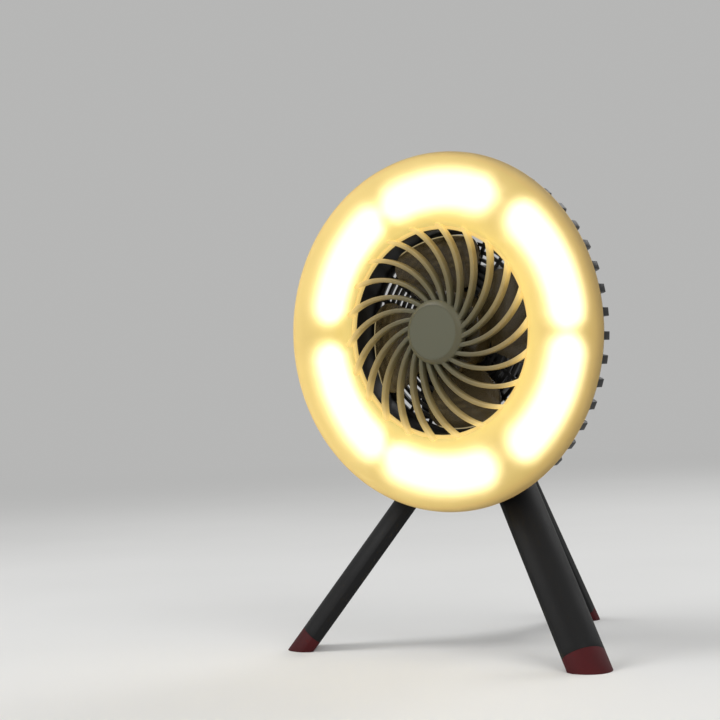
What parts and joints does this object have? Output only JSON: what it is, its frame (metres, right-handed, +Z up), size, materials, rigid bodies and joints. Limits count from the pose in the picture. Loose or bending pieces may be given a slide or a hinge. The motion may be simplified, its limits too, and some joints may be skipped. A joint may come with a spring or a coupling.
{
  "type": "camping fan with ring light",
  "caption": "Battery fan inside a glowing half-round ring light, with curved ribs, a tilting yoke, a back pod and folding legs with rubber feet.",
  "frame": {"origin": "on the floor under the middle of the bounding box, legs open", "axes": "+Z up, the fan blows towards -Y, +X is to the right seen from the front"},
  "size_m": [0.207, 0.1828, 0.2793],
  "materials": {
    "diffuser": "milky, lit warm white from behind",
    "grille_plastic": "satin, slightly milky",
    "white_plastic": "satin white",
    "light_board": "white solder mask",
    "light_chip": "yellow phosphor",
    "black_plastic": "fine-grained black",
    "leg_plastic": "fine-grained dark grey",
    "blade_plastic": "smoky, slightly see-through",
    "red_rubber": "matt dark red",
    "black_rubber": "matt black",
    "steel": "plain",
    "dark_steel": "black electrocoat",
    "core_steel": "laminated",
    "magnet": "sintered",
    "copper": "enamelled copper",
    "cell_wrap": "blue shrink wrap",
    "board_green": "green solder mask",
    "button_red": "soft red",
    "button_grey": "soft grey",
    "lens": "clear green"
  },
  "bodies": {
    "stand": {"yoke": "leg_plastic", "tilt_pins": "dark_steel", "tilt_washers": "white_plastic", "leg_hub": "leg_plastic", "hub_bolt": "steel", "leg_pins": "steel"},
    "head": {"light_diffuser": "diffuser", "front_grille": "grille_plastic", "centre_disc": "grille_plastic", "light_tray": "white_plastic", "light_segments": "light_board", "light_chips": "light_chip", "rear_housing": "black_plastic", "intake_guard": "black_plastic", "housing_screws": "steel", "motor_base": "black_plastic", "stator_core": "core_steel", "stator_coils": "copper", "motor_bearings": "steel", "pod_body": "black_plastic", "pod_gasket": "black_rubber", "pod_cover": "black_plastic", "pod_screws": "steel", "battery_cells": "cell_wrap", "cell_holder": "white_plastic", "control_board": "board_green", "push_switches": "steel", "charge_socket": "steel", "indicator_lens": "lens"},
    "rotor": {"motor_shaft": "steel", "rotor_can": "dark_steel", "rotor_magnet": "magnet", "impeller": "blade_plastic", "shaft_nut": "steel"},
    "fan_button": {"fan_button": "button_red"},
    "light_button": {"light_button": "button_grey"},
    "port_flap": {"port_flap": "black_rubber"},
    "hanging_loop": {"hanging_loop": "steel"},
    "leg_left": {"leg_left": "leg_plastic", "foot_left": "red_rubber"},
    "leg_right": {"leg_right": "leg_plastic", "foot_right": "red_rubber"},
    "leg_rear": {"leg_rear": "leg_plastic", "foot_rear": "red_rubber"}
  },
  "joints": [
    {"name": "head_tilt", "type": "hinge", "parent": "stand", "child": "head", "pos_m": [0, -0.03435, 0.17127], "axis": [-1, 0, 0], "range_deg": [0, 60]},
    {"name": "fan_spin", "type": "hinge", "parent": "head", "child": "rotor", "pos_m": [0, -0.06435, 0.17927], "axis": [0, -1, 0], "continuous": true},
    {"name": "fan_press", "type": "slide", "parent": "head", "child": "fan_button", "axis": [0, -1, 0], "range_m": [0, 0.001], "stiffness_N_per_m": 600, "springref_m": -0.0005},
    {"name": "light_press", "type": "slide", "parent": "head", "child": "light_button", "axis": [0, -1, 0], "range_m": [0, 0.001], "stiffness_N_per_m": 600, "springref_m": -0.0005},
    {"name": "flap_swing", "type": "hinge", "parent": "head", "child": "port_flap", "pos_m": [0, -0.01915, 0.16372], "axis": [1, 0, 0], "range_deg": [0, 110]},
    {"name": "loop_swing", "type": "hinge", "parent": "head", "child": "hanging_loop", "pos_m": [0, -0.03435, 0.20527], "axis": [-1, 0, 0], "range_deg": [0, 110]},
    {"name": "left_fold", "type": "hinge", "parent": "stand", "child": "leg_left", "pos_m": [-0.01126, -0.03285, 0.12517], "axis": [0.5, -0.866, 0], "range_deg": [0, 37.7]},
    {"name": "right_fold", "type": "hinge", "parent": "stand", "child": "leg_right", "pos_m": [0.01126, -0.03285, 0.12517], "axis": [0.5, 0.866, 0], "range_deg": [0, 37.7]},
    {"name": "rear_fold", "type": "hinge", "parent": "stand", "child": "leg_rear", "pos_m": [0, -0.01335, 0.12517], "axis": [-1, 0, 0], "range_deg": [0, 37.7]}
  ]
}
